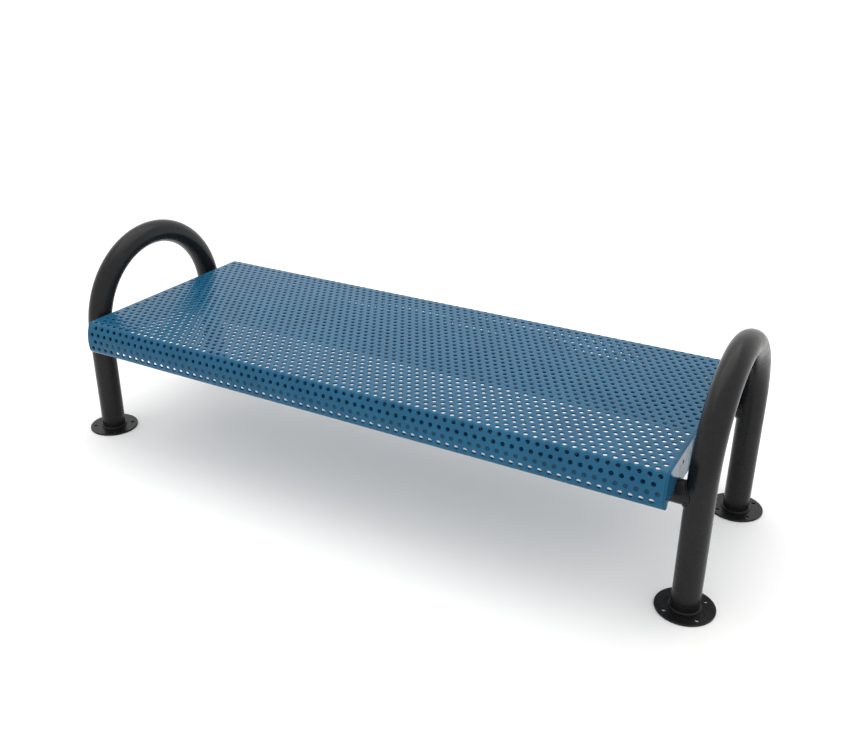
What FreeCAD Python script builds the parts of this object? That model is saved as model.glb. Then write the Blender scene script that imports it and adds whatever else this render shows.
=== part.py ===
import FreeCAD, Part
import math
import os

import Sketcher

# Backless street bench, surface mounted: two bent-tube end arches on round base flanges, and a
# rolled steel seat pan on three rails, the outer two of which slide over stubs on the legs.
# Millimetres.  +X runs along the seat, +Y to the rear, +Z up; the origin is on the ground
# under the centre of the bench.

DIMENSIONS = [
    ("arch_spacing", 1942, "centre to centre of the two arches, along X"),
    ("leg_spacing", 525, "centre to centre of the two legs of one arch"),
    ("leg_height", 340, "ground to the start of the half-round bend"),
    ("tube_od", 73, "arch tube, 2-1/2 inch nominal pipe"),
    ("tube_wall", 5, "arch tube wall"),
    ("flange_od", 152, "round base flange"),
    ("flange_thick", 6, "base flange plate"),
    ("anchor_pcd", 118, "anchor bolt circle"),
    ("anchor_hole", 11, "anchor hole diameter"),
    ("rail_height", 323, "ground to the centre line of the stubs and outer seat rails"),
    ("stub_od", 60.3, "rail stub, 2 inch nominal pipe"),
    ("stub_wall", 5.5, "rail stub wall"),
    ("stub_reach", 130, "leg centre line to the open end of the stub"),
    ("rail_od", 73, "outer seat rail, 2-1/2 inch nominal pipe"),
    ("rail_wall", 5, "outer seat rail wall"),
    ("rail_recess", 20, "end plate's inner face to the end of an outer seat rail"),
    ("tab_thick", 6, "tab that joins an outer seat rail to the end plate"),
    ("tab_length", 30, "tab, along the rail from the end plate"),
    ("tab_low", 306, "ground to the lower edge of the tab"),
    ("tab_high", 342, "ground to the upper edge of the tab"),
    ("spine_od", 60.3, "centre seat rail, 2 inch nominal pipe"),
    ("spine_wall", 3.9, "centre seat rail wall"),
    ("seat_length", 1828.8, "overall length of the seat pan"),
    ("seat_top", 416, "ground to the sitting surface"),
    ("sheet", 4.5, "coated sheet thickness"),
    ("half_flat", 339, "seat centre to the start of the front or rear roll"),
    ("nose_bend", 22, "outer radius of the roll under the sitting surface"),
    ("nose_turn", 70, "degrees turned by that roll"),
    ("apron_bend", 135, "outer radius of the bowed apron"),
    ("apron_turn", 30, "degrees turned by the apron"),
    ("hem_bend", 20, "outer radius of the lower roll"),
    ("hem_lip", 12, "flat lip turned inwards below the apron"),
    ("plate_bottom", 328, "ground to the lower edge of the end plates"),
    ("saddle_gap", 1.35, "gap between stub and end plate"),
    ("hang_hole", 11, "hole in the end plate from which the seat hangs while it is coated"),
    ("hang_hole_at", 235, "hang hole, from the middle"),
    ("hang_hole_up", 387, "hang hole, above the ground"),
    ("bolt_size", 10, "thread diameter of the rail bolts"),
    ("bolt_hole", 11, "clearance hole for the rail bolts"),
    ("head_od", 20, "carriage bolt head diameter"),
    ("head_rise", 5, "carriage bolt head height"),
    ("nut_od", 18.5, "nut across its corners"),
    ("nut_thick", 8, "nut thickness"),
    ("bolt_stick_out", 3, "bolt end past the nut"),
    ("rail_bolt_in", 28, "rail bolt, from the open end of the stub"),
]

SIDES = {"left": -1, "right": 1}
ENDS = {"front": -1, "rear": 1}
ALONG_X = FreeCAD.Rotation(FreeCAD.Vector(0, 1, 0), 90)
ALONG_Y = FreeCAD.Rotation(FreeCAD.Vector(1, 0, 0), -90)
FACING_X = FreeCAD.Rotation(FreeCAD.Vector(1, 1, 1), 120)

doc = FreeCAD.newDocument("backless_bench")
sheet = doc.addObject("Spreadsheet::Sheet", "dims")
for row, (alias, number, meaning) in enumerate(DIMENSIONS, start=1):
    sheet.set(f"A{row}", str(number))
    sheet.setAlias(f"A{row}", alias)
    sheet.set(f"B{row}", meaning)
doc.recompute()

nodes = []


def size(alias):
    return float(sheet.get(alias))


def bind(obj, **formulas):
    """Tie properties of an object to formulas over the sheet's cells."""
    for name, formula in formulas.items():
        obj.setExpression(name, formula)
    return obj


def place(obj, x="0", y="0", z="0", rotation=None):
    if rotation:
        obj.Placement = FreeCAD.Placement(FreeCAD.Vector(), rotation)
    for axis, formula in (("x", x), ("y", y), ("z", z)):
        obj.setExpression(f"Placement.Base.{axis}", formula)
    return obj


def keep(obj, label):
    """Name a finished sub-part; its label is its file name."""
    obj.Label = label
    nodes.append(obj)
    return obj


def cylinder(name, diameter, height, **where):
    obj = doc.addObject("Part::Cylinder", name)
    bind(obj, Radius=f"({diameter}) / 2", Height=height)
    return place(obj, **where)


def box(name, length, width, height, **where):
    obj = doc.addObject("Part::Box", name)
    bind(obj, Length=length, Width=width, Height=height)
    return place(obj, **where)


def cut(name, base, tool):
    obj = doc.addObject("Part::Cut", name)
    obj.Base = base
    obj.Tool = tool
    return obj


def fuse(name, shapes):
    obj = doc.addObject("Part::MultiFuse", name)
    obj.Shapes = shapes
    return obj


def group(name, members):
    obj = doc.addObject("Part::Compound", name)
    obj.Links = members
    return obj


def pipe(name, diameter, wall, length, **where):
    outside = cylinder(f"{name}_outside", diameter, length, **where)
    inside = cylinder(f"{name}_inside", f"{diameter} - 2 * {wall}", length, **where)
    return cut(name, outside, inside)


def origin_plane(body, role):
    return next(item for item in body.Origin.OriginFeatures if item.Role == role)


def body_sketch(body, role, name):
    sketch = body.newObject("Sketcher::SketchObject", name)
    sketch.AttachmentSupport = [(origin_plane(body, role), "")]
    sketch.MapMode = "FlatFace"
    return sketch


def constrain(sketch, kind, *args, formula):
    """Add a measured constraint and tie its value to the sheet."""
    index = sketch.addConstraint(Sketcher.Constraint(kind, *args))
    sketch.setExpression(f"Constraints[{index}]", formula)


# --- end arches -----------------------------------------------------------------------------


def arch_path(body):
    """Leg, half-round bend, leg."""
    sketch = body_sketch(body, "YZ_Plane", "path")
    half, foot, bend = size("leg_spacing") / 2, size("flange_thick"), size("leg_height")
    centre = FreeCAD.Vector(0, bend, 0)
    ring = Part.Circle(centre, FreeCAD.Vector(0, 0, 1), half)
    front = Part.LineSegment(FreeCAD.Vector(-half, foot, 0), FreeCAD.Vector(-half, bend, 0))
    rear = Part.LineSegment(FreeCAD.Vector(half, bend, 0), FreeCAD.Vector(half, foot, 0))
    sketch.addGeometry([front, Part.ArcOfCircle(ring, 0, math.pi), rear], False)
    for line in (0, 2):
        sketch.addConstraint(Sketcher.Constraint("Vertical", line))
    sketch.addConstraint(Sketcher.Constraint("Tangent", 0, 2, 1, 2))
    sketch.addConstraint(Sketcher.Constraint("Tangent", 2, 1, 1, 1))
    sketch.addConstraint(Sketcher.Constraint("PointOnObject", 1, 3, -2))
    constrain(sketch, "DistanceX", 0, 1, 2, 2, 2 * half, formula="dims.leg_spacing")
    constrain(sketch, "DistanceY", -1, 1, 0, 1, foot, formula="dims.flange_thick")
    constrain(sketch, "DistanceY", -1, 1, 2, 2, foot, formula="dims.flange_thick")
    constrain(sketch, "DistanceY", -1, 1, 1, 3, bend, formula="dims.leg_height")
    return sketch


def arch_section(body):
    """Tube wall at the foot of the front leg."""
    sketch = body_sketch(body, "XY_Plane", "section")
    sketch.setExpression("AttachmentOffset.Base.z", "dims.flange_thick")
    centre = FreeCAD.Vector(0, -size("leg_spacing") / 2, 0)
    outer = size("tube_od") / 2
    inner = outer - size("tube_wall")
    up = FreeCAD.Vector(0, 0, 1)
    sketch.addGeometry([Part.Circle(centre, up, outer), Part.Circle(centre, up, inner)], False)
    sketch.addConstraint(Sketcher.Constraint("Coincident", 0, 3, 1, 3))
    sketch.addConstraint(Sketcher.Constraint("PointOnObject", 0, 3, -2))
    constrain(sketch, "DistanceY", 0, 3, -1, 1, -centre.y, formula="dims.leg_spacing / 2")
    constrain(sketch, "Radius", 0, outer, formula="dims.tube_od / 2")
    constrain(sketch, "Radius", 1, inner, formula="dims.tube_od / 2 - dims.tube_wall")
    return sketch


def end_arch(side, sign):
    body = doc.addObject("PartDesign::Body", f"arch_{side}")
    section = arch_section(body)
    path = arch_path(body)
    sweep = body.newObject("PartDesign::AdditivePipe", "bent_tube")
    sweep.Profile = section
    sweep.Spine = path
    place(body, x=f"{sign} * dims.arch_spacing / 2")
    keep(body, f"arch_{side}")


# --- base flanges ---------------------------------------------------------------------------


def base_flange(side, end, x_sign, y_sign):
    body = doc.addObject("PartDesign::Body", f"base_flange_{side}_{end}")
    disc = body_sketch(body, "XY_Plane", "disc")
    up = FreeCAD.Vector(0, 0, 1)
    disc.addGeometry(Part.Circle(FreeCAD.Vector(), up, size("flange_od") / 2), False)
    disc.addConstraint(Sketcher.Constraint("Coincident", 0, 3, -1, 1))
    constrain(disc, "Radius", 0, size("flange_od") / 2, formula="dims.flange_od / 2")
    plate = body.newObject("PartDesign::Pad", "plate")
    plate.Profile = disc
    bind(plate, Length="dims.flange_thick")

    ring = body_sketch(body, "XY_Plane", "anchor")
    reach = size("anchor_pcd") / 2 * math.sqrt(0.5)
    ring.addGeometry(Part.Circle(FreeCAD.Vector(reach, reach, 0), up, 1), False)
    half_chord = "dims.anchor_pcd / 2 * sqrt(0.5)"
    constrain(ring, "DistanceX", -1, 1, 0, 3, reach, formula=half_chord)
    constrain(ring, "DistanceY", -1, 1, 0, 3, reach, formula=half_chord)
    constrain(ring, "Radius", 0, size("anchor_hole") / 2, formula="dims.anchor_hole / 2")
    hole = body.newObject("PartDesign::Pocket", "anchor_hole")
    hole.Profile = ring
    hole.Type = "ThroughAll"
    hole.Reversed = True
    doc.recompute()

    pattern = body.newObject("PartDesign::PolarPattern", "anchor_holes")
    pattern.Originals = [hole]
    pattern.Axis = (origin_plane(body, "Z_Axis"), [""])
    pattern.Angle = 360
    pattern.Occurrences = 4
    body.Tip = pattern
    place(body, x=f"{x_sign} * dims.arch_spacing / 2", y=f"{y_sign} * dims.leg_spacing / 2")
    keep(body, f"base_flange_{side}_{end}")


# --- rail stubs and seat rails --------------------------------------------------------------


def rail_stub(side, end, x_sign, y_sign):
    """Pipe stub coped to the leg and drilled across for the rail bolt."""
    name = f"rail_stub_{side}_{end}"
    line = f"{y_sign} * dims.leg_spacing / 2"
    start = "dims.arch_spacing / 2 - dims.stub_reach"
    if x_sign < 0:
        start = "-dims.arch_spacing / 2"
    blank = pipe(
        f"{name}_blank", "dims.stub_od", "dims.stub_wall", "dims.stub_reach",
        x=start, y=line, z="dims.rail_height", rotation=ALONG_X,
    )
    leg = cylinder(
        f"{name}_leg", "dims.tube_od", "dims.leg_height + dims.tube_od",
        x=f"{x_sign} * dims.arch_spacing / 2", y=line,
    )
    drill = cylinder(
        f"{name}_drill", "dims.bolt_hole", "2 * dims.rail_od",
        x=f"{x_sign} * (dims.arch_spacing / 2 - dims.stub_reach + dims.rail_bolt_in)",
        y=f"{line} - dims.rail_od", z="dims.rail_height", rotation=ALONG_Y,
    )
    coped = cut(f"{name}_coped", blank, leg)
    keep(cut(name, coped, drill), name)


def outer_rail(end, y_sign):
    """Pipe that slides over both stubs on its side, set back from the end plates."""
    name = f"seat_rail_{end}"
    line = f"{y_sign} * dims.leg_spacing / 2"
    half = "(dims.seat_length / 2 - dims.sheet - dims.rail_recess)"
    blank = pipe(
        f"{name}_blank", "dims.rail_od", "dims.rail_wall", f"2 * {half}",
        x=f"-{half}", y=line, z="dims.rail_height", rotation=ALONG_X,
    )
    drills = [
        cylinder(
            f"{name}_drill_{side}", "dims.bolt_hole", "2 * dims.rail_od",
            x=f"{sign} * (dims.arch_spacing / 2 - dims.stub_reach + dims.rail_bolt_in)",
            y=f"{line} - dims.rail_od", z="dims.rail_height", rotation=ALONG_Y,
        )
        for side, sign in SIDES.items()
    ]
    keep(cut(name, blank, fuse(f"{name}_drills", drills)), name)


def centre_rail():
    """Pipe that carries the middle of the sheet, touching it from below."""
    half = "(dims.seat_length / 2 - dims.sheet)"
    rail = pipe(
        "seat_rail_centre", "dims.spine_od", "dims.spine_wall", f"2 * {half}",
        x=f"-{half}", z="dims.seat_top - dims.sheet - dims.spine_od / 2", rotation=ALONG_X,
    )
    keep(rail, "seat_rail_centre")


def rail_tab(side, end, x_sign, y_sign):
    """Flat bar on the inner side of an outer rail that reaches on to the end plate."""
    inside = "(dims.seat_length / 2 - dims.sheet)"
    near = "(dims.leg_spacing / 2 - dims.rail_od / 2 - dims.tab_thick)"
    name = f"rail_tab_{side}_{end}"
    bar = box(
        f"{name}_bar", "dims.tab_length", "dims.tab_thick", "dims.tab_high - dims.tab_low",
        x=f"{inside} - dims.tab_length" if x_sign > 0 else f"-{inside}",
        y=near if y_sign > 0 else f"-{near} - dims.tab_thick", z="dims.tab_low",
    )
    keep(bar, name)


# --- seat pan -------------------------------------------------------------------------------


def rolled_outline(name, inset):
    """Closed outline of the rolled pan, seen along X, a given depth inside its outer face."""
    inset_now = size("sheet") if inset == "dims.sheet" else 0
    flat, top = size("half_flat"), size("seat_top") - inset_now
    bends = [size(alias) - inset_now for alias in ("nose_bend", "apron_bend", "hem_bend")]
    nose, apron = math.radians(size("nose_turn")), math.radians(size("apron_turn"))
    ends = [0, nose, nose + apron, math.pi]

    sketch = doc.addObject("Sketcher::SketchObject", name)
    sketch.Placement = FreeCAD.Placement(FreeCAD.Vector(), FACING_X)
    up = FreeCAD.Vector(0, 0, 1)
    corner = FreeCAD.Vector(flat, top, 0)
    edges = [Part.LineSegment(FreeCAD.Vector(-flat, top, 0), corner)]
    point = corner
    for radius, begin, finish in zip(bends, ends, ends[1:]):
        centre = point - FreeCAD.Vector(math.sin(begin), math.cos(begin), 0) * radius
        ring = Part.Circle(centre, up, radius)
        edges.append(Part.ArcOfCircle(ring, math.pi / 2 - finish, math.pi / 2 - begin))
        point = centre + FreeCAD.Vector(math.sin(finish), math.cos(finish), 0) * radius
    for arc in list(edges[1:]):
        mirrored = Part.Circle(FreeCAD.Vector(-arc.Center.x, arc.Center.y, 0), up, arc.Radius)
        first, last = math.pi - arc.LastParameter, math.pi - arc.FirstParameter
        edges.append(Part.ArcOfCircle(mirrored, first, last))
    edges.append(Part.LineSegment(FreeCAD.Vector(-point.x, point.y, 0), point))
    sketch.addGeometry(edges, False)

    # Each arc's start (point 1) is its clockwise end: the right-hand arcs run upwards from
    # their lower end and the left-hand ones down from their upper end.
    sketch.addConstraint(Sketcher.Constraint("Tangent", 0, 2, 1, 2))
    sketch.addConstraint(Sketcher.Constraint("Tangent", 1, 1, 2, 2))
    sketch.addConstraint(Sketcher.Constraint("Tangent", 2, 1, 3, 2))
    sketch.addConstraint(Sketcher.Constraint("Tangent", 3, 1, 7, 2))
    sketch.addConstraint(Sketcher.Constraint("Tangent", 0, 1, 4, 1))
    sketch.addConstraint(Sketcher.Constraint("Tangent", 4, 2, 5, 1))
    sketch.addConstraint(Sketcher.Constraint("Tangent", 5, 2, 6, 1))
    sketch.addConstraint(Sketcher.Constraint("Coincident", 6, 2, 7, 1))
    sketch.addConstraint(Sketcher.Constraint("Symmetric", 0, 1, 0, 2, -2))
    constrain(sketch, "DistanceX", 0, 1, 0, 2, 2 * flat, formula="2 * dims.half_flat")
    constrain(sketch, "DistanceY", -1, 1, 0, 2, top, formula=f"dims.seat_top - {inset}")
    for arcs, alias in (((1, 4), "nose_bend"), ((2, 5), "apron_bend"), ((3, 6), "hem_bend")):
        for arc in arcs:
            radius = size(alias) - inset_now
            constrain(sketch, "Radius", arc, radius, formula=f"dims.{alias} - {inset}")
    for arcs, alias in (((1, 4), "nose_turn"), ((2, 5), "apron_turn")):
        for arc in arcs:
            turn = math.radians(size(alias))
            constrain(sketch, "Angle", arc, turn, formula=f"dims.{alias} * 1 deg")
    return sketch


def extrude_x(name, sketch, length, start):
    solid = doc.addObject("Part::Extrusion", name)
    solid.Base = sketch
    solid.DirMode = "Custom"
    solid.Dir = FreeCAD.Vector(1, 0, 0)
    solid.Solid = True
    bind(solid, LengthFwd=length)
    return place(solid, x=start)


def seat_panel():
    """Rolled sheet, open underneath between the two lips, without its perforations."""
    half = "(dims.seat_length / 2 - dims.sheet)"
    outer = extrude_x("pan_outer", rolled_outline("pan_outer_line", "0"), f"2 * {half}", f"-{half}")
    inner_line = rolled_outline("pan_inner_line", "dims.sheet")
    inner = extrude_x("pan_inner", inner_line, f"2 * {half}", f"-{half}")
    mouth_half = (
        "(dims.half_flat + (dims.nose_bend - dims.apron_bend) * sin(dims.nose_turn * 1 deg)"
        " + (dims.apron_bend - dims.hem_bend) * sin((dims.nose_turn + dims.apron_turn) * 1 deg)"
        " - dims.hem_lip)"
    )
    mouth = box(
        "pan_mouth", "dims.seat_length", f"2 * {mouth_half}", "dims.seat_top / 2",
        x="-dims.seat_length / 2", y=f"-{mouth_half}",
        z="dims.plate_bottom + dims.sheet - dims.seat_top / 2",
    )
    shell = cut("pan_shell", outer, inner)
    keep(cut("seat_panel", shell, mouth), "seat_panel")


def seat_end_plate(side, x_sign):
    """Plate that closes the end of the pan, with a saddle over each stub and two hang holes."""
    name = f"seat_end_plate_{side}"
    start = "dims.seat_length / 2 - dims.sheet" if x_sign > 0 else "-dims.seat_length / 2"
    through = dict(x=f"{start} - dims.sheet", rotation=ALONG_X)
    blank = extrude_x(f"{name}_blank", rolled_outline(f"{name}_line", "0"), "dims.sheet", start)
    skirt = box(
        f"{name}_skirt", "3 * dims.sheet", "2 * dims.half_flat", "dims.plate_bottom",
        x=f"{start} - dims.sheet", y="-dims.half_flat",
    )
    tools = [skirt]
    for end, sign in ENDS.items():
        saddle = cylinder(
            f"{name}_saddle_{end}", "dims.stub_od + 2 * dims.saddle_gap", "3 * dims.sheet",
            y=f"{sign} * dims.leg_spacing / 2", z="dims.rail_height", **through,
        )
        hole = cylinder(
            f"{name}_hole_{end}", "dims.hang_hole", "3 * dims.sheet",
            y=f"{sign} * dims.hang_hole_at", z="dims.hang_hole_up", **through,
        )
        tools += [saddle, hole]
    keep(cut(name, blank, fuse(f"{name}_tools", tools)), name)


# --- fasteners ------------------------------------------------------------------------------


def nut(name, **where):
    blank = doc.addObject("Part::Prism", f"{name}_blank")
    blank.Polygon = 6
    bind(blank, Circumradius="dims.nut_od / 2", Height="dims.nut_thick")
    place(blank, **where)
    bore = cylinder(f"{name}_bore", "dims.bolt_size", "dims.nut_thick", **where)
    return cut(name, blank, bore)


def rail_fasteners():
    """One cross bolt per stub, head to the outside of the bench and nut to the inside."""
    bolts, nuts = [], []
    for side, x_sign in SIDES.items():
        for end, y_sign in ENDS.items():
            tag = f"{side}_{end}"
            x = f"{x_sign} * (dims.arch_spacing / 2 - dims.stub_reach + dims.rail_bolt_in)"
            outer = f"{y_sign} * (dims.leg_spacing / 2 + dims.rail_od / 2)"
            inner = f"{y_sign} * (dims.leg_spacing / 2 - dims.rail_od / 2)"
            length = "dims.rail_od + dims.nut_thick + dims.bolt_stick_out"
            shank_y = outer if y_sign < 0 else f"{outer} - ({length})"
            head_y = f"{outer} - dims.head_rise" if y_sign < 0 else outer
            nut_y = inner if y_sign < 0 else f"{inner} - dims.nut_thick"
            level = dict(z="dims.rail_height", rotation=ALONG_Y)
            shank = cylinder(f"rail_shank_{tag}", "dims.bolt_size", length, x=x, y=shank_y, **level)
            head = cylinder(
                f"rail_head_{tag}", "dims.head_od", "dims.head_rise", x=x, y=head_y, **level
            )
            bolts.append(fuse(f"rail_bolt_{tag}", [shank, head]))
            nuts.append(nut(f"rail_nut_{tag}", x=x, y=nut_y, **level))
    keep(group("rail_bolt_group", bolts), "rail_bolts")
    keep(group("rail_nut_group", nuts), "rail_nuts")


# --- assembly -------------------------------------------------------------------------------

for side, x_sign in SIDES.items():
    end_arch(side, x_sign)
    seat_end_plate(side, x_sign)
    for end, y_sign in ENDS.items():
        base_flange(side, end, x_sign, y_sign)
        rail_stub(side, end, x_sign, y_sign)
        rail_tab(side, end, x_sign, y_sign)
for end, y_sign in ENDS.items():
    outer_rail(end, y_sign)
centre_rail()
seat_panel()
rail_fasteners()
doc.recompute()

for obj in doc.Objects:
    if "Invalid" in obj.State or "Error" in obj.State:
        raise RuntimeError(f"{obj.Name} failed: {obj.State}")
for obj in nodes:
    if obj.Shape.isNull() or not obj.Shape.isValid():
        raise RuntimeError(f"{obj.Label} has no valid shape")

os.makedirs("parts", exist_ok=True)
for obj in nodes:
    obj.Shape.exportStep(f"parts/{obj.Label}.step")
    extent = obj.Shape.BoundBox
    spans = f"{extent.XLength:.1f} x {extent.YLength:.1f} x {extent.ZLength:.1f}"
    print(f"{obj.Label}: {len(obj.Shape.Solids)} solid(s), {spans} mm, {obj.Shape.Volume:.0f} mm3")
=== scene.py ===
import math

import bmesh
import bpy
import numpy as np
from mathutils import Matrix, Vector


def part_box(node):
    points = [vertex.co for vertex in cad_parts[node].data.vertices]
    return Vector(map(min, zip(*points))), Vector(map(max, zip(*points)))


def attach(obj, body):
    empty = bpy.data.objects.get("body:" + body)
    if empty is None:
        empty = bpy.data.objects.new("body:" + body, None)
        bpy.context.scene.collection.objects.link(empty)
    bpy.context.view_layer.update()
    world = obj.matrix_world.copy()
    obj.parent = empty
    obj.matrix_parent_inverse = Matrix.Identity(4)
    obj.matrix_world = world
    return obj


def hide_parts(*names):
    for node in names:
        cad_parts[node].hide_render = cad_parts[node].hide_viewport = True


# Looks of the backless bench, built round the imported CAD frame.  Metres; +X along the seat,
# +Y to the rear, +Z up.

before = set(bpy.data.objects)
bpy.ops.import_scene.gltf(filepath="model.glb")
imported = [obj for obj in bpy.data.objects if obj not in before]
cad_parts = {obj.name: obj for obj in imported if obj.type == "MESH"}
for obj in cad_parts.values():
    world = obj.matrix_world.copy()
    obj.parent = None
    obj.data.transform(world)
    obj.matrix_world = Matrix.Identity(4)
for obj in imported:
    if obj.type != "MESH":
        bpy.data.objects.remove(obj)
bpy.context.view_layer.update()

SIDES = {"left": -1, "right": 1}
ENDS = {"front": -1, "rear": 1}

# Stock and layout, as in the CAD source.
TUBE_RADIUS = 0.0365
BEND_START = 0.340
FLANGE_RADIUS = 0.076
FLANGE_THICK = 0.006
ANCHOR_CIRCLE = 0.059
ANCHOR_RADIUS = 0.0055
RAIL_HEIGHT = 0.323
STUB_RADIUS = 0.03015
STUB_BORE = 0.02465
STUB_REACH = 0.130
RAIL_RADIUS = 0.0365
RAIL_BORE = 0.0315
SPINE_RADIUS = 0.03015
SPINE_BORE = 0.02625
RAIL_BOLT_IN = 0.028
SHEET = 0.0045
BOLT_RADIUS = 0.005
HEAD_RADIUS = 0.010
HEAD_RISE = 0.005
NUT_CORNER = 0.00925
NUT_THICK = 0.008
STICK_OUT = 0.003
PLATE_BOTTOM = 0.328
SADDLE_RADIUS = 0.0315
HANG_HOLE_RADIUS = 0.0055
HANG_HOLE_Y = 0.235
HANG_HOLE_Z = 0.387
CORNER_SETOUT = 0.005  # end plate's lower corners, outwards of the lip's edge

# Cross-section of the pan: half width of the flat, then (outer radius, degrees turned).
HALF_FLAT = 0.339
BENDS = ((0.022, 70), (0.135, 30), (0.020, 80))
LIP = 0.012

# Perforation: staggered rows of round holes.
PITCH = 0.0254
ROW = 0.022
ROWS = 40
HOLES_IN_ROW = 71
SHORT_MARGIN = 0.01905
HOLE_SIDES = 12
HOLE_RADIUS = 0.0061
HEM_MARGIN = 0.0015  # plain strip between the last row's hexagons and the first fold of the hem
HEM_STEPS = 9

# Roundings of the coating over edges, and the steps in each.
PAN_EDGE = 0.0009
PLATE_EDGE = 0.0012
FLANGE_EDGE = 0.0011
PIPE_EDGE = 0.0011
STUB_EDGE = 0.0012
TAB_EDGE = 0.0009
EDGE_STEPS = 3

# Weld beads: radius of each, how far their centres stand off the corner, and their ripple.
FOOT_BEAD = 0.0042
SOCKET_BEAD = 0.0034
SPINE_BEAD = 0.003
TAB_BEAD = 0.0024
FOOT_STANDOFF = 0.0008
BEAD_STANDOFF = 0.0006
TAB_STANDOFF = 0.0005
RIPPLE_LENGTH = 0.0055
RIPPLE_DEPTH = 0.14
BEAD_SIDES = 12

# A face counts as square to an axis when its normal is at least this much along it.
SQUARE_ENOUGH = 0.9999

ARCH_X = (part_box("arch_right")[0].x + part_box("arch_right")[1].x) / 2
LEG_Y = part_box("arch_right")[1].y - TUBE_RADIUS
SEAT_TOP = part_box("seat_panel")[1].z
PAN_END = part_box("seat_panel")[1].x
SEAT_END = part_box("seat_end_plate_right")[1].x


# --- mesh helpers ---------------------------------------------------------------------------


class Shell:
    """Points and faces gathered for one piece."""

    def __init__(self):
        self.points = []
        self.faces = []

    def add(self, points, faces, matrix=None):
        base = len(self.points)
        placed = [Vector(p) if matrix is None else matrix @ Vector(p) for p in points]
        self.points.extend(placed)
        self.faces.extend([tuple(base + i for i in face) for face in faces])
        return self

    def build(self, name, material, slot, nodes, sharp=35, plate=False):
        mesh = bpy.data.meshes.new(name)
        mesh.from_pydata([tuple(p) for p in self.points], [], self.faces)
        work = bmesh.new()
        work.from_mesh(mesh)
        bmesh.ops.recalc_face_normals(work, faces=work.faces)
        work.to_mesh(mesh)
        work.free()
        return finish_piece(mesh, name, material, nodes, sharp, plate)


def finish_piece(mesh, name, material, nodes, sharp=35, plate=False):
    """Shade a mesh, give it its material and hang it on the frame.  A plate's faces square to
    the axes are shaded flat, so its rounded edges do not bleed into them."""
    mesh.shade_smooth()
    mesh.set_sharp_from_angle(angle=math.radians(sharp))
    if plate:
        for face in mesh.polygons:
            face.use_smooth = max(abs(number) for number in face.normal) < SQUARE_ENOUGH
    mesh.materials.append(material)
    piece = bpy.data.objects.new(name, mesh)
    bpy.context.scene.collection.objects.link(piece)
    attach(piece, "root")
    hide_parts(*nodes)
    return piece


def circle(radius, sides, centre=(0, 0)):
    """Points round a circle."""
    return [
        (
            centre[0] + radius * math.cos(2 * math.pi * i / sides),
            centre[1] + radius * math.sin(2 * math.pi * i / sides),
        )
        for i in range(sides)
    ]


def arc(centre, radius, begin, finish, steps):
    """Points along an arc, its ends given in degrees."""
    turns = [math.radians(begin + (finish - begin) * i / steps) for i in range(steps + 1)]
    return [(centre[0] + radius * math.cos(t), centre[1] + radius * math.sin(t)) for t in turns]


def lathe(profile, sides, closed):
    """Turn (radius, height) points about Z.  A closed profile makes a ring; an open one starts
    and ends on the axis."""
    points, rows = [], []
    for radius, height in profile:
        if radius < 1e-7:
            rows.append([len(points)] * sides)
            points.append((0, 0, height))
            continue
        rows.append(list(range(len(points), len(points) + sides)))
        points.extend((x, y, height) for x, y in circle(radius, sides))
    if closed:
        rows.append(rows[0])
    faces = []
    for low, high in zip(rows, rows[1:]):
        for i in range(sides):
            j = (i + 1) % sides
            face = [low[i], low[j], high[j], high[i]]
            face = [v for k, v in enumerate(face) if v != face[k - 1]]
            if len(face) > 2:
                faces.append(face)
    return points, faces


def loft(rings, closed=False):
    """Join rings of equal length into one skin: a closed one runs back to its first ring, an
    open one is capped at both ends."""
    sides, count = len(rings[0]), len(rings)
    points = [p for ring in rings for p in ring]
    faces = []
    for k in range(count if closed else count - 1):
        a, b = k * sides, (k + 1) % count * sides
        for i in range(sides):
            j = (i + 1) % sides
            faces.append((a + i, a + j, b + j, b + i))
    if not closed:
        faces.append(tuple(range(sides)))
        faces.append(tuple((count - 1) * sides + i for i in range(sides)))
    return points, faces


def pipe_wall(outer, inner, low, high):
    """Closed (radius, height) profile of a pipe wall with rounded edges."""
    edge = PIPE_EDGE
    profile = arc((outer - edge, high - edge), edge, 90, 0, EDGE_STEPS)
    profile += arc((outer - edge, low + edge), edge, 0, -90, EDGE_STEPS)
    profile += arc((inner + edge, low + edge), edge, -90, -180, EDGE_STEPS)
    profile += arc((inner + edge, high - edge), edge, 180, 90, EDGE_STEPS)
    return profile


def flat_plate(loops, thickness, edge):
    """Points and faces of a plate with rounded edges, from its outline and holes in X and Y.
    The plate is centred on Z."""
    curve = bpy.data.curves.new("plate_outline", "CURVE")
    curve.dimensions = "2D"
    curve.fill_mode = "BOTH"
    curve.extrude = thickness / 2 - edge
    curve.bevel_depth = edge
    curve.bevel_resolution = 2
    curve.offset = -edge
    for loop in loops:
        spline = curve.splines.new("POLY")
        spline.points.add(len(loop) - 1)
        for point, (x, y) in zip(spline.points, loop):
            point.co = (x, y, 0, 1)
        spline.use_cyclic_u = True
    holder = bpy.data.objects.new("plate_outline", curve)
    bpy.context.scene.collection.objects.link(holder)
    graph = bpy.context.evaluated_depsgraph_get()
    mesh = bpy.data.meshes.new_from_object(holder.evaluated_get(graph))
    work = bmesh.new()
    work.from_mesh(mesh)
    bmesh.ops.remove_doubles(work, verts=work.verts, dist=1e-6)
    points = [v.co.copy() for v in work.verts]
    faces = [tuple(v.index for v in f.verts) for f in work.faces]
    work.free()
    bpy.data.objects.remove(holder)
    bpy.data.curves.remove(curve)
    bpy.data.meshes.remove(mesh)
    return points, faces


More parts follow.
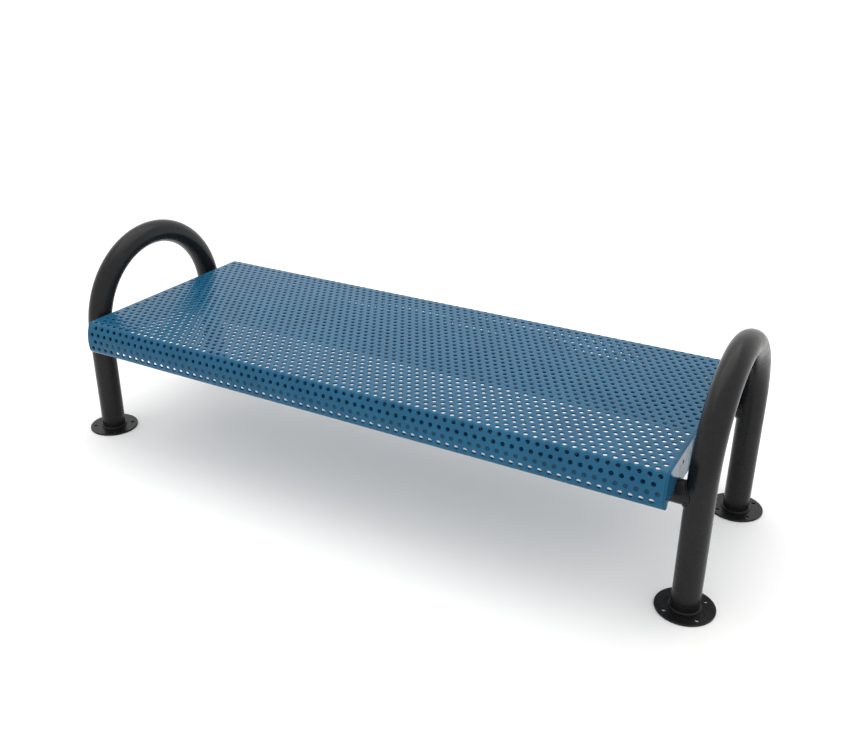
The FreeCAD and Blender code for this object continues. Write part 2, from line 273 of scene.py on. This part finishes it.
def weld_bead(shell, centre_line, closed, radius):
    """A rippled round bead along a line of (point, outward direction) pairs."""
    count = len(centre_line)
    rings = []
    travelled = 0.0
    for k, (point, outward) in enumerate(centre_line):
        here = Vector(point)
        after = Vector(centre_line[(k + 1) % count if closed else min(k + 1, count - 1)][0])
        before = Vector(centre_line[k - 1 if closed else max(k - 1, 0)][0])
        along = (after - before).normalized()
        side = along.cross(Vector(outward).normalized()).normalized()
        out = side.cross(along).normalized()
        travelled += (after - here).length
        crest = abs(math.sin(math.pi * travelled / RIPPLE_LENGTH))
        size = radius * (1 - RIPPLE_DEPTH + RIPPLE_DEPTH * crest)
        rings.append([here + size * (x * out + y * side) for x, y in circle(1, BEAD_SIDES)])
    return shell.add(*loft(rings, closed))


def straight_bead(shell, start, finish, outward, radius):
    """A weld bead along a straight line."""
    steps = 16
    line = []
    for i in range(steps + 1):
        line.append(([a + (b - a) * i / steps for a, b in zip(start, finish)], outward))
    weld_bead(shell, line, False, radius)


def turned_to_x(y, z):
    """Lays a piece made along Z on X instead, its axis through y and z."""
    return Matrix.Translation((0, y, z)) @ Matrix.Rotation(math.radians(90), 4, "Y")


def outward_y(sign):
    """Turns +Z to point outwards along Y."""
    return Matrix.Rotation(math.radians(-90 * sign), 4, "X")


def drawn_in_yz(x):
    """Places a plate drawn in X and Y so that they become y and z, centred on x."""
    return Matrix(((0, 0, 1, x), (1, 0, 0, 0), (0, 1, 0, 0), (0, 0, 0, 1)))


def drawn_in_xz(y):
    """Places a plate drawn in X and Y so that they become x and z, centred on y."""
    return Matrix(((1, 0, 0, 0), (0, 0, 1, y), (0, 1, 0, 0), (0, 0, 0, 1)))


# --- materials ------------------------------------------------------------------------------


class Nodes:
    """Short hand for a material's node tree."""

    def __init__(self, name):
        self.material = bpy.data.materials.new(name)
        self.material.use_nodes = True
        self.tree = self.material.node_tree
        self.shader = self.tree.nodes["Principled BSDF"]
        self.place = self.tree.nodes.new("ShaderNodeTexCoord").outputs["Object"]

    def set(self, **sockets):
        for name, value in sockets.items():
            self.shader.inputs[name.replace("_", " ")].default_value = value

    def drive(self, socket, out):
        self.link(out, self.shader.inputs[socket])

    def link(self, out, into):
        self.tree.links.new(out, into)

    def noise(self, scale, detail=2.0, roughness=0.5):
        node = self.tree.nodes.new("ShaderNodeTexNoise")
        node.inputs["Scale"].default_value = scale
        node.inputs["Detail"].default_value = detail
        node.inputs["Roughness"].default_value = roughness
        self.link(self.place, node.inputs["Vector"])
        return node.outputs["Fac"]

    def specks(self, scale):
        node = self.tree.nodes.new("ShaderNodeTexVoronoi")
        node.inputs["Scale"].default_value = scale
        self.link(self.place, node.inputs["Vector"])
        return node.outputs["Distance"]

    def span(self, value, low, high, to_low, to_high):
        """Map a range of a value onto another, clamped."""
        node = self.tree.nodes.new("ShaderNodeMapRange")
        for name, number in (
            ("From Min", low), ("From Max", high), ("To Min", to_low), ("To Max", to_high),
        ):
            node.inputs[name].default_value = number
        self.link(value, node.inputs["Value"])
        return node.outputs["Result"]

    def blend(self, factor, first, second):
        """Mix two colours, each a tuple or another node's output.  A colour mix keeps its pair
        in sockets 6 and 7 and its result in output 2."""
        node = self.tree.nodes.new("ShaderNodeMix")
        node.data_type = "RGBA"
        for socket, colour in ((node.inputs[6], first), (node.inputs[7], second)):
            if isinstance(colour, tuple):
                socket.default_value = colour
            else:
                self.link(colour, socket)
        self.link(factor, node.inputs["Factor"])
        return node.outputs[2]

    def bump(self, *layers):
        """Stack (height, strength, distance) layers into one normal."""
        normal = None
        for height, strength, distance in layers:
            node = self.tree.nodes.new("ShaderNodeBump")
            node.inputs["Strength"].default_value = strength
            node.inputs["Distance"].default_value = distance
            self.link(height, node.inputs["Height"])
            if normal:
                self.link(normal, node.inputs["Normal"])
            normal = node.outputs["Normal"]
        self.link(normal, self.shader.inputs["Normal"])


def dip_coat(name, depth):
    """Thick glossy blue plastisol: slow waves, faint smears, a little grime.  A depth below 1
    makes the blue darker. This is painted shade on pieces of the same coat that sit in shadow."""
    n = Nodes(name)
    n.set(Specular_IOR_Level=0.16, IOR=1.5)
    deep = (0.008 * depth, 0.080 * depth, 0.158 * depth, 1)
    pale = (0.012 * depth, 0.097 * depth, 0.187 * depth, 1)
    grimy = (0.045, 0.105, 0.150, 1)
    pool = n.span(n.noise(7.0, 3.0, 0.55), 0.3, 0.7, 0.0, 1.0)
    grime = n.span(n.noise(60.0, 4.0, 0.6), 0.58, 0.8, 0.0, 0.12)
    n.drive("Base Color", n.blend(grime, n.blend(pool, deep, pale), grimy))
    n.drive("Roughness", n.span(n.noise(22.0, 3.0, 0.6), 0.3, 0.75, 0.06, 0.13))
    n.bump((n.noise(16.0, 1.0), 0.16, 0.004), (n.noise(260.0, 2.0), 0.10, 0.0006))
    return n.material


def powder_coat():
    """Satin black powder coat: fine orange peel, a little dust in patches."""
    n = Nodes("black_powder_coat")
    n.set(Specular_IOR_Level=0.21, IOR=1.5)
    dark, light = (0.0068, 0.0068, 0.0072, 1), (0.0096, 0.0096, 0.00976, 1)
    dusty = (0.045, 0.045, 0.043, 1)
    mottle = n.span(n.noise(9.0, 3.0), 0.3, 0.7, 0.0, 1.0)
    dust = n.span(n.noise(90.0, 5.0, 0.65), 0.5, 0.85, 0.0, 0.2)
    n.drive("Base Color", n.blend(dust, n.blend(mottle, dark, light), dusty))
    n.drive("Roughness", n.span(n.noise(35.0, 3.0), 0.3, 0.7, 0.22, 0.34))
    n.bump((n.noise(420.0, 3.0, 0.6), 0.22, 0.0006), (n.specks(900.0), 0.10, 0.0003))
    return n.material


def plated_steel():
    """Dull zinc plating with faint spangle."""
    n = Nodes("zinc_plating")
    n.set(Metallic=1.0)
    spangle = n.span(n.specks(450.0), 0.0, 0.6, 0.0, 1.0)
    n.drive("Base Color", n.blend(spangle, (0.50, 0.51, 0.52, 1), (0.62, 0.62, 0.60, 1)))
    n.drive("Roughness", n.span(n.noise(300.0, 3.0), 0.3, 0.7, 0.28, 0.45))
    n.bump((n.noise(700.0, 3.0), 0.15, 0.0004))
    return n.material


def black_oxide():
    """Oiled black oxide on bolt heads, worn a little lighter in places."""
    n = Nodes("black_oxide")
    n.set(Metallic=0.6)
    worn = n.span(n.noise(240.0, 4.0, 0.6), 0.55, 0.8, 0.0, 0.5)
    n.drive("Base Color", n.blend(worn, (0.028, 0.028, 0.03, 1), (0.10, 0.10, 0.10, 1)))
    n.drive("Roughness", n.span(n.noise(180.0, 3.0), 0.3, 0.7, 0.3, 0.5))
    n.bump((n.noise(900.0, 2.0), 0.15, 0.0003))
    return n.material


BLUE = dip_coat("blue_sheet_coat", 1.0)
# The end plates, rail tabs, rail pipes and their welds get the same coat made darker: painted
# shade, because they sit in shadow under and beside the seat.
BLUE_SHADED_PLATE = dip_coat("blue_plate_coat_painted_shade", 0.9)
BLUE_SHADED_PIPE = dip_coat("blue_pipe_coat_painted_shade", 0.85)
BLACK = powder_coat()
ZINC = plated_steel()
OXIDE = black_oxide()


# --- pan cross-section ----------------------------------------------------------------------


def pan_stations():
    """(start arc length, centre y, centre z, radius, start angle) of each bend, then
    (arc length, y, z) of the hem's end, and the arc length out to the edge of the lip."""
    stations = []
    length, angle = HALF_FLAT, 0.0
    y, z = HALF_FLAT, SEAT_TOP
    for radius, degrees in BENDS:
        centre = (y - radius * math.sin(angle), z - radius * math.cos(angle))
        stations.append((length, *centre, radius, angle))
        length += radius * math.radians(degrees)
        angle += math.radians(degrees)
        y = centre[0] + radius * math.sin(angle)
        z = centre[1] + radius * math.cos(angle)
    return stations, (length, y, z), length + LIP


STATIONS, HEM_END, HALF_GIRTH = pan_stations()


def on_pan(s, depth):
    """y and z of points at signed arc length s and a depth below the outer face."""
    a = np.abs(s)
    y, z = a.copy(), np.full_like(a, SEAT_TOP)
    ny, nz = np.zeros_like(a), np.ones_like(a)
    for start, cy, cz, radius, angle in STATIONS:
        turn = angle + (a - start) / radius
        past = a > start
        ny = np.where(past, np.sin(turn), ny)
        nz = np.where(past, np.cos(turn), nz)
        y = np.where(past, cy + radius * np.sin(turn), y)
        z = np.where(past, cz + radius * np.cos(turn), z)
    lip = a > HEM_END[0]
    ny, nz = np.where(lip, 0.0, ny), np.where(lip, -1.0, nz)
    y = np.where(lip, HEM_END[1] - (a - HEM_END[0]), y)
    z = np.where(lip, HEM_END[2], z)
    return np.sign(s) * (y - ny * depth), z - nz * depth


def pan_outline():
    """(y, z) points down the rear half of the pan's outer face, from the flat to the hem."""
    marks = [HALF_FLAT]
    for (start, _, _, radius, _), (_, degrees) in zip(STATIONS, BENDS):
        steps = max(4, round(degrees / 5))
        marks += [start + radius * math.radians(degrees) * (i + 1) / steps for i in range(steps)]
    y, z = on_pan(np.array(marks), 0.0)
    return list(zip(y.tolist(), z.tolist()))


# --- perforated seat ------------------------------------------------------------------------


def hole_rings():
    """(radius, depth) of the rings that make one coated hole, from the outer face to the inner
    one.  None stands for the hexagon round the hole."""
    flare = 0.0012
    top = [
        (HOLE_RADIUS + flare, 0.0),
        (HOLE_RADIUS + 0.42 * flare, 0.00028),
        (HOLE_RADIUS + 0.05 * flare, 0.0010),
    ]
    bottom = [(radius, SHEET - depth) for radius, depth in reversed(top)]
    return [(None, 0.0)] + top + bottom + [(None, SHEET)]


def row_start(row):
    """x of a row's first hole: rows are staggered by half a pitch."""
    margin = SHORT_MARGIN if row % 2 == 0 else SHORT_MARGIN + PITCH / 2
    return -SEAT_END + margin


def row_line(row):
    """Arc length at which a row of holes lies."""
    return ROW * (row - (ROWS - 1) / 2)


def perforated_cells():
    """Points (x, s, depth) and faces of every hole with the web round it."""
    angles = np.arange(HOLE_SIDES) * 2 * math.pi / HOLE_SIDES
    web = np.where(np.arange(HOLE_SIDES) % 2 == 0, PITCH / 2, PITCH / math.sqrt(3))
    rings = []
    for radius, depth in hole_rings():
        reach = web if radius is None else np.full(HOLE_SIDES, radius)
        ring = np.stack([reach * np.cos(angles), reach * np.sin(angles)], axis=1)
        rings.append(np.column_stack([ring, np.full(HOLE_SIDES, depth)]))
    cell = np.concatenate(rings)
    quads = []
    for k in range(len(rings) - 1):
        for i in range(HOLE_SIDES):
            j = (i + 1) % HOLE_SIDES
            low, high = k * HOLE_SIDES, (k + 1) * HOLE_SIDES
            quads.append((low + i, low + j, high + j, high + i))
    quads = np.array(quads)
    centres = [
        (row_start(row) + PITCH * hole, row_line(row), 0.0)
        for row in range(ROWS)
        for hole in range(HOLES_IN_ROW)
    ]
    points = (np.array(centres)[:, None, :] + cell[None]).reshape(-1, 3)
    steps = np.arange(len(centres))[:, None, None] * len(cell)
    return points, (quads[None] + steps).reshape(-1, 4)


def row_edge(row, side):
    """(x, s) points up one end of a row's hexagons, from its lower corner to its upper one."""
    first = row_start(row)
    x = first - PITCH / 2 if side < 0 else first + PITCH * (HOLES_IN_ROW - 1) + PITCH / 2
    s = row_line(row)
    reach = PITCH / math.sqrt(12)
    return [(x, s - reach), (x, s), (x, s + reach)]


def end_zigzag(side):
    """(x, s) points up the whole end of the field of hexagons."""
    line = []
    for row in range(ROWS):
        points = row_edge(row, side)
        if line:
            a, b = line[-1], points[0]
            line.append(((a[0] + b[0]) / 2, (a[1] + b[1]) / 2))
        line += points
    return line


def long_zigzag(row, direction):
    """(x, s) points along the outer edge of the first or last row of hexagons."""
    s = row_line(row)
    corner, point = PITCH / math.sqrt(12), PITCH / math.sqrt(3)
    middle = (corner + point) / 2
    line = []
    for hole in range(HOLES_IN_ROW):
        x = row_start(row) + PITCH * hole
        line.append((x - PITCH / 2, s + direction * corner))
        line.append((x - PITCH / 4, s + direction * middle))
        line.append((x, s + direction * point))
        line.append((x + PITCH / 4, s + direction * middle))
    line.append((x + PITCH / 2, s + direction * corner))
    return line


def hem_lines():
    """Arc lengths of the plain strips below the last row, down to the lip."""
    first = row_line(ROWS - 1) + PITCH / math.sqrt(3) + HEM_MARGIN
    bend = [first + (HEM_END[0] - first) * i / HEM_STEPS for i in range(HEM_STEPS + 1)]
    return bend + [HALF_GIRTH - PAN_EDGE]


def seat_border():
    """The plain margin as quads of (x, s), and the loop of points round its rim."""
    limit, last = PAN_END - PAN_EDGE, HALF_GIRTH - PAN_EDGE
    quads = []
    for side in (-1, 1):
        line = end_zigzag(side)
        for a, b in zip(line, line[1:]):
            low, high = (side * limit, a[1]), (side * limit, b[1])
            quads.append([low, a, b, high] if side < 0 else [a, low, high, b])

    hem = hem_lines()
    columns = {}
    for row, direction in ((0, -1), (ROWS - 1, 1)):
        line = long_zigzag(row, direction)
        upper = [(-limit, line[0][1])] + line + [(limit, line[-1][1])]
        columns[direction] = [x for x, _ in upper]
        for level in hem:
            lower = [(x, direction * level) for x, _ in upper]
            for i in range(len(upper) - 1):
                quad = [lower[i], lower[i + 1], upper[i + 1], upper[i]]
                quads.append(quad if direction < 0 else quad[::-1])
            upper = lower

    heights = [-s for s in reversed(hem)] + [s for _, s in end_zigzag(1)] + hem
    loop = [(x, -last) for x in columns[-1]]
    loop += [(limit, s) for s in heights[1:]]
    loop += [(x, last) for x in reversed(columns[1][:-1])]
    loop += [(-limit, s) for s in reversed(heights[1:-1])]
    return quads, loop


def plain_layer(quads, depth, flip):
    """Points (x, s, depth) and faces of the margin at one face of the sheet."""
    flat = np.array(quads).reshape(-1, 2)
    points = np.column_stack([flat, np.full(len(flat), depth)])
    faces = np.arange(len(flat)).reshape(-1, 4)
    return points, faces[:, ::-1] if flip else faces


def rolled_rim(loop):
    """Points (x, s, depth) and faces of the coating rounded over the pan's rim."""
    turns = [math.radians(90 * i / EDGE_STEPS) for i in range(EDGE_STEPS + 1)]
    profile = [(PAN_EDGE * math.sin(t), PAN_EDGE * (1 - math.cos(t))) for t in turns]
    profile += [(out, SHEET - depth) for out, depth in reversed(profile)]
    around = np.array(loop)
    limits = np.abs(around).max(axis=0)
    outward = np.sign(around) * np.isclose(np.abs(around), limits, atol=1e-7)
    count = len(around)
    rings = [
        np.column_stack([around + outward * out, np.full(count, depth)]) for out, depth in profile
    ]
    here = np.arange(count)
    after = np.roll(here, -1)
    strips = []
    for k in range(len(rings) - 1):
        low, high = (k + 1) * count, k * count
        strips.append(np.stack([low + here, low + after, high + after, high + here], axis=1))
    return np.concatenate(rings), np.concatenate(strips)


def perforated_seat():
    """The rolled pan with its holes, its coating rounded over every edge."""
    quads, loop = seat_border()
    points, faces = perforated_cells()
    layers = (plain_layer(quads, 0.0, False), plain_layer(quads, SHEET, True), rolled_rim(loop))
    for more_points, more_faces in layers:
        faces = np.concatenate([faces, more_faces + len(points)])
        points = np.concatenate([points, more_points])

    # Points that fall on the same micrometre are one point.
    keys = np.round(points * 1e6).astype(np.int64)
    _, first, same = np.unique(keys, axis=0, return_index=True, return_inverse=True)
    points, faces = points[first], same.reshape(-1)[faces]
    y, z = on_pan(points[:, 1], points[:, 2])
    placed = np.column_stack([points[:, 0], y, z])

    mesh = bpy.data.meshes.new("perforated_seat")
    mesh.from_pydata(placed.tolist(), [], faces.tolist())
    finish_piece(mesh, "perforated_seat", BLUE, ["seat_panel"], sharp=60)


# --- seat end plates ------------------------------------------------------------------------


def end_plate_outline():
    """(y, z) outline: over the pan, down its rolled edge, and over the two stubs."""
    skin = pan_outline()
    corner = HEM_END[1] - LIP + CORNER_SETOUT
    half = skin + [(corner, skin[-1][1]), (corner, PLATE_BOTTOM)]
    dip = math.degrees(math.asin((PLATE_BOTTOM - RAIL_HEIGHT) / SADDLE_RADIUS))
    half += arc((LEG_Y, RAIL_HEIGHT), SADDLE_RADIUS, dip, 180 - dip, 24)
    return half + [(-y, z) for y, z in reversed(half)]


def end_plates():
    loops = [end_plate_outline()]
    for sign in ENDS.values():
        loops.append(circle(HANG_HOLE_RADIUS, 24, (sign * HANG_HOLE_Y, HANG_HOLE_Z)))
    plate = flat_plate(loops, SHEET, PLATE_EDGE)
    for side, sign in SIDES.items():
        shell = Shell().add(*plate, drawn_in_yz(sign * (SEAT_END - SHEET / 2)))
        node = f"seat_end_plate_{side}"
        name = f"end_plate_{side}"
        shell.build(name, BLUE_SHADED_PLATE, "seat_coat", [node], sharp=50, plate=True)


# --- arches, flanges and rails --------------------------------------------------------------


def arch_tube():
    """Rings of the bent tube about x = 0: up the front leg, over the bow, down the rear leg."""
    sides, bend_steps = 64, 60
    stations = [(-LEG_Y, FLANGE_THICK, 0.0), (-LEG_Y, BEND_START / 2, 0.0)]
    for i in range(bend_steps + 1):
        turn = math.pi * i / bend_steps
        y = -LEG_Y * math.cos(turn)
        stations.append((y, BEND_START + LEG_Y * math.sin(turn), turn))
    stations += [(LEG_Y, BEND_START / 2, math.pi), (LEG_Y, FLANGE_THICK, math.pi)]
    rings = []
    for y, z, turn in stations:
        across = Vector((0, math.cos(turn), -math.sin(turn)))
        rings.append([Vector((a, y, z)) + b * across for a, b in circle(TUBE_RADIUS, sides)])
    return loft(rings)


def arches():
    tube = arch_tube()
    for side, sign in SIDES.items():
        shell = Shell().add(*tube, Matrix.Translation((sign * ARCH_X, 0, 0)))
        shell.build(f"arch_tube_{side}", BLACK, "frame_coat", [f"arch_{side}"])


def flanges():
    corner = ANCHOR_CIRCLE * math.sqrt(0.5)
    loops = [circle(FLANGE_RADIUS, 120)]
    for x in (-corner, corner):
        loops += [circle(ANCHOR_RADIUS, 28, (x, y)) for y in (-corner, corner)]
    plate = flat_plate(loops, FLANGE_THICK, FLANGE_EDGE)
    for side, x_sign in SIDES.items():
        for end, y_sign in ENDS.items():
            foot = Matrix.Translation((x_sign * ARCH_X, y_sign * LEG_Y, 0))
            shell = Shell().add(*plate, foot @ Matrix.Translation((0, 0, FLANGE_THICK / 2)))
            node = f"base_flange_{side}_{end}"
            name = f"foot_flange_{side}_{end}"
            shell.build(name, BLACK, "frame_coat", [node], sharp=50, plate=True)

            bead, line = Shell(), []
            for x, y in circle(TUBE_RADIUS + FOOT_STANDOFF, 168):
                at = foot @ Vector((x, y, FLANGE_THICK + FOOT_STANDOFF))
                line.append((at, (x, y, TUBE_RADIUS)))
            weld_bead(bead, line, True, FOOT_BEAD)
            bead.build(f"foot_weld_{side}_{end}", BLACK, "frame_coat", [node], sharp=70)


def leg_gap(offset):
    """Distance along X from the leg's centre line to its surface, at a sideways offset."""
    return math.sqrt(TUBE_RADIUS**2 - offset**2)


def stub_rings(x_sign):
    """Rings of the coped stub, from its joint with the leg, round its open end and back along
    its bore, about the leg's centre line."""
    sides, edge, sunk = 56, STUB_EDGE, 0.0005
    profile = [(STUB_RADIUS, None)]
    profile += arc((STUB_RADIUS - edge, STUB_REACH - edge), edge, 0, 90, EDGE_STEPS)
    profile += arc((STUB_BORE + edge, STUB_REACH - edge), edge, 90, 180, EDGE_STEPS)
    profile.append((STUB_BORE, None))
    rings = []
    for radius, reach in profile:
        ring = []
        for y, z in circle(radius, sides):
            along = leg_gap(y) - sunk if reach is None else reach
            ring.append(Vector((-x_sign * along, y, z + RAIL_HEIGHT)))
        rings.append(ring)
    return rings


def stubs():
    for side, x_sign in SIDES.items():
        points, faces = loft(stub_rings(x_sign), closed=True)
        for end, y_sign in ENDS.items():
            leg = Matrix.Translation((x_sign * ARCH_X, y_sign * LEG_Y, 0))
            node = f"rail_stub_{side}_{end}"
            shell = Shell().add(points, faces, leg)
            shell.build(f"rail_socket_{side}_{end}", BLACK, "frame_coat", [node])

            bead, line = Shell(), []
            for y, z in circle(STUB_RADIUS + BEAD_STANDOFF, 132):
                along = leg_gap(y) + BEAD_STANDOFF
                at = leg @ Vector((-x_sign * along, y, RAIL_HEIGHT + z))
                line.append((at, (-x_sign * STUB_RADIUS, y, z)))
            weld_bead(bead, line, True, SOCKET_BEAD)
            bead.build(f"socket_weld_{side}_{end}", BLACK, "frame_coat", [node], sharp=70)


def seat_rails():
    """Three coated pipes: the outer two are open at the stubs, the centre one is welded to the
    end plates."""
    spine = SEAT_TOP - SHEET - SPINE_RADIUS
    lines = {
        "front": (-LEG_Y, RAIL_HEIGHT, RAIL_RADIUS, RAIL_BORE),
        "centre": (0.0, spine, SPINE_RADIUS, SPINE_BORE),
        "rear": (LEG_Y, RAIL_HEIGHT, RAIL_RADIUS, RAIL_BORE),
    }
    for name, (y, z, radius, bore) in lines.items():
        node = f"seat_rail_{name}"
        low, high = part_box(node)
        pipe = lathe(pipe_wall(radius, bore, low.x, high.x), 72, closed=True)
        shell = Shell().add(*pipe, turned_to_x(y, z))
        shell.build(f"rail_pipe_{name}", BLUE_SHADED_PIPE, "seat_coat", [node])

    # Only the centre pipe meets the end plates; its bead stops short of the sheet above.
    beads, steps = Shell(), 96
    for sign in SIDES.values():
        line = []
        for i in range(steps + 1):
            turn = math.radians(125 + 290 * i / steps)
            out = Vector((0, math.cos(turn), math.sin(turn)))
            foot = Vector((sign * (PAN_END - BEAD_STANDOFF), 0, spine))
            line.append((foot + (SPINE_RADIUS + BEAD_STANDOFF) * out, out))
        weld_bead(beads, line, False, SPINE_BEAD)
    beads.build("centre_rail_weld", BLUE_SHADED_PIPE, "seat_coat", ["seat_rail_centre"], sharp=70)


def rail_tabs():
    """Flat bars between the ends of the outer rails and the end plates, welded along the rail
    above and below and across the end plate."""
    from_edge, from_plate_bottom, from_top = 0.003, 0.003, 0.002
    for side, x_sign in SIDES.items():
        for end, y_sign in ENDS.items():
            node = f"rail_tab_{side}_{end}"
            low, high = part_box(node)
            outline = [(low.x, low.z), (high.x, low.z), (high.x, high.z), (low.x, high.z)]
            plate = flat_plate([outline], high.y - low.y, TAB_EDGE)
            shell = Shell().add(*plate, drawn_in_xz((low.y + high.y) / 2))
            name = f"rail_tab_plate_{side}_{end}"
            shell.build(name, BLUE_SHADED_PLATE, "seat_coat", [node], sharp=50, plate=True)

            free, fixed = (low.x, high.x) if x_sign > 0 else (high.x, low.x)
            inner, outer = (low.y, high.y) if y_sign > 0 else (high.y, low.y)
            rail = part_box(f"seat_rail_{end}")
            rail_end = rail[1].x if x_sign > 0 else rail[0].x
            beads = Shell()
            for level, up in ((low.z + from_edge, -1), (high.z - from_edge, 1)):
                begin, finish = (free, outer, level), (rail_end, outer, level)
                straight_bead(beads, begin, finish, (0, -y_sign, up), TAB_BEAD)
            weld_x = fixed - x_sign * TAB_STANDOFF
            lower_end = (weld_x, inner, PLATE_BOTTOM + from_plate_bottom)
            upper_end = (weld_x, inner, high.z - from_top)
            straight_bead(beads, lower_end, upper_end, (-x_sign, -y_sign, 0), TAB_BEAD)
            beads.build(f"rail_tab_weld_{side}_{end}", BLUE_SHADED_PIPE, "seat_coat", [node], sharp=70)


# --- fasteners ------------------------------------------------------------------------------


def carriage_bolt(length):
    """Domed head above z = 0, shank below it, ending in a few turns of thread."""
    rim, rim_cut, dome_steps = 0.0006, 0.0002, 10
    ball = (HEAD_RADIUS**2 + HEAD_RISE**2) / (2 * HEAD_RISE) * 1.02
    half_turn = math.asin((HEAD_RADIUS - rim_cut) / ball)
    scale = (HEAD_RISE - rim) / (ball * (1 - math.cos(half_turn)))
    head = []
    for i in range(dome_steps + 1):
        turn = half_turn * i / dome_steps
        head.append((ball * math.sin(turn), HEAD_RISE - ball * (1 - math.cos(turn)) * scale))
    head += [(HEAD_RADIUS, rim * 0.6), (HEAD_RADIUS - rim_cut, 0.0), (BOLT_RADIUS, 0.0)]

    pitch, lead_in = 0.0015, 0.0008
    crest, root = BOLT_RADIUS - 0.0001, BOLT_RADIUS - 0.0008
    turns = int((NUT_THICK + STICK_OUT) / pitch)
    start = -length + turns * pitch + lead_in
    thread = []
    for i in range(turns):
        top = start - i * pitch
        thread += [(crest, top), (root, top - pitch / 2)]
    tip = [(BOLT_RADIUS - 0.0009, -length), (0.0, -length)]
    return lathe(head + thread + tip, 40, closed=False)


def hex_nut():
    """Chamfered hexagon with a bore, standing on z = 0."""
    sides = 48
    flat = NUT_CORNER * math.cos(math.pi / 6)
    land = flat * 0.95
    mouth = BOLT_RADIUS + 0.0006
    slope = math.tan(math.radians(28))

    def corner_reach(angle):
        return flat / math.cos((angle + math.pi / 6) % (math.pi / 3) - math.pi / 6)

    def level_rings(radii, height):
        return [[(x, y, height) for x, y in circle(radius, sides)] for radius in radii]

    rings = level_rings((BOLT_RADIUS, mouth, land), 0)
    for top in (False, True):
        ring = []
        for i in range(sides):
            angle = 2 * math.pi * i / sides
            radius = corner_reach(angle)
            cut = (radius - land) * slope
            height = NUT_THICK - cut if top else cut
            ring.append((radius * math.cos(angle), radius * math.sin(angle), height))
        rings.append(ring)
    rings += level_rings((land, mouth, BOLT_RADIUS), NUT_THICK)
    return loft(rings, closed=True)


def rail_fasteners():
    bolt = carriage_bolt(2 * RAIL_RADIUS + NUT_THICK + STICK_OUT)
    nut = hex_nut()
    bolts, nuts = Shell(), Shell()
    for x_sign in SIDES.values():
        for y_sign in ENDS.values():
            x = x_sign * (ARCH_X - STUB_REACH + RAIL_BOLT_IN)
            spin = Matrix.Rotation(math.radians(23 * (x_sign + 2 * y_sign)), 4, "Z")
            outer = y_sign * (LEG_Y + RAIL_RADIUS)
            face = Matrix.Translation((x, outer, RAIL_HEIGHT)) @ outward_y(y_sign) @ spin
            bolts.add(*bolt, face)
            back = -2 * RAIL_RADIUS - NUT_THICK
            nuts.add(*nut, face @ Matrix.Translation((0, 0, back)))
    bolts.build("rail_carriage_bolts", OXIDE, "black_hardware", ["rail_bolts"], sharp=30)
    nuts.build("rail_hex_nuts", ZINC, "zinc_hardware", ["rail_nuts"], sharp=20)


# --- stage ----------------------------------------------------------------------------------


def floor():
    half = 40.0
    corners = [(-half, -half, 0), (half, -half, 0), (half, half, 0), (-half, half, 0)]
    mesh = bpy.data.meshes.new("studio_floor")
    mesh.from_pydata(corners, [], [(0, 1, 2, 3)])
    n = Nodes("pale_floor")
    n.set(Base_Color=(0.97, 0.965, 0.955, 1), Roughness=0.7, Specular_IOR_Level=0.1)
    mesh.materials.append(n.material)
    plane = bpy.data.objects.new("studio_floor", mesh)
    bpy.context.scene.collection.objects.link(plane)


def softbox():
    """One wide light above and a little behind the bench."""
    place, target = Vector((-0.4, 0.6, 3.2)), Vector((0, 0, 0.3))
    data = bpy.data.lights.new("overhead_softbox", "AREA")
    data.shape = "RECTANGLE"
    data.size, data.size_y = 4.0, 2.6
    data.energy = 46
    lamp = bpy.data.objects.new("overhead_softbox", data)
    lamp.location = place
    lamp.rotation_euler = (target - place).to_track_quat("-Z", "Y").to_euler()
    bpy.context.scene.collection.objects.link(lamp)


def studio():
    """White surroundings, which give most of the light."""
    scene = bpy.context.scene
    scene.view_settings.view_transform = "Standard"
    world = bpy.data.worlds.new("studio")
    scene.world = world
    world.use_nodes = True
    background = world.node_tree.nodes["Background"]
    background.inputs["Color"].default_value = (1.0, 1.0, 1.0, 1)
    background.inputs["Strength"].default_value = 1.13


def camera():
    """At the photograph's viewpoint: eye level, to the right of the bench's front."""
    place = Vector((1.3668, -2.2997, 1.5487))
    pitch, yaw, roll = 0.4376, -0.5105, -0.006
    ahead = Vector(
        (math.sin(yaw) * math.cos(pitch), math.cos(yaw) * math.cos(pitch), -math.sin(pitch))
    )
    level = Vector((math.cos(yaw), -math.sin(yaw), 0))
    down = ahead.cross(level)
    right = math.cos(roll) * level + math.sin(roll) * down
    down = math.cos(roll) * down - math.sin(roll) * level
    data = bpy.data.cameras.new("view")
    data.lens = 41.5
    data.sensor_width = 36.0
    data.clip_end = 200.0
    eye = bpy.data.objects.new("view", data)
    turn = Matrix((right, -down, -ahead)).transposed()
    eye.matrix_world = Matrix.Translation(place) @ turn.to_4x4()
    bpy.context.scene.collection.objects.link(eye)
    bpy.context.scene.camera = eye


camera()
studio()
softbox()
floor()
perforated_seat()
end_plates()
arches()
flanges()
stubs()
seat_rails()
rail_tabs()
rail_fasteners()
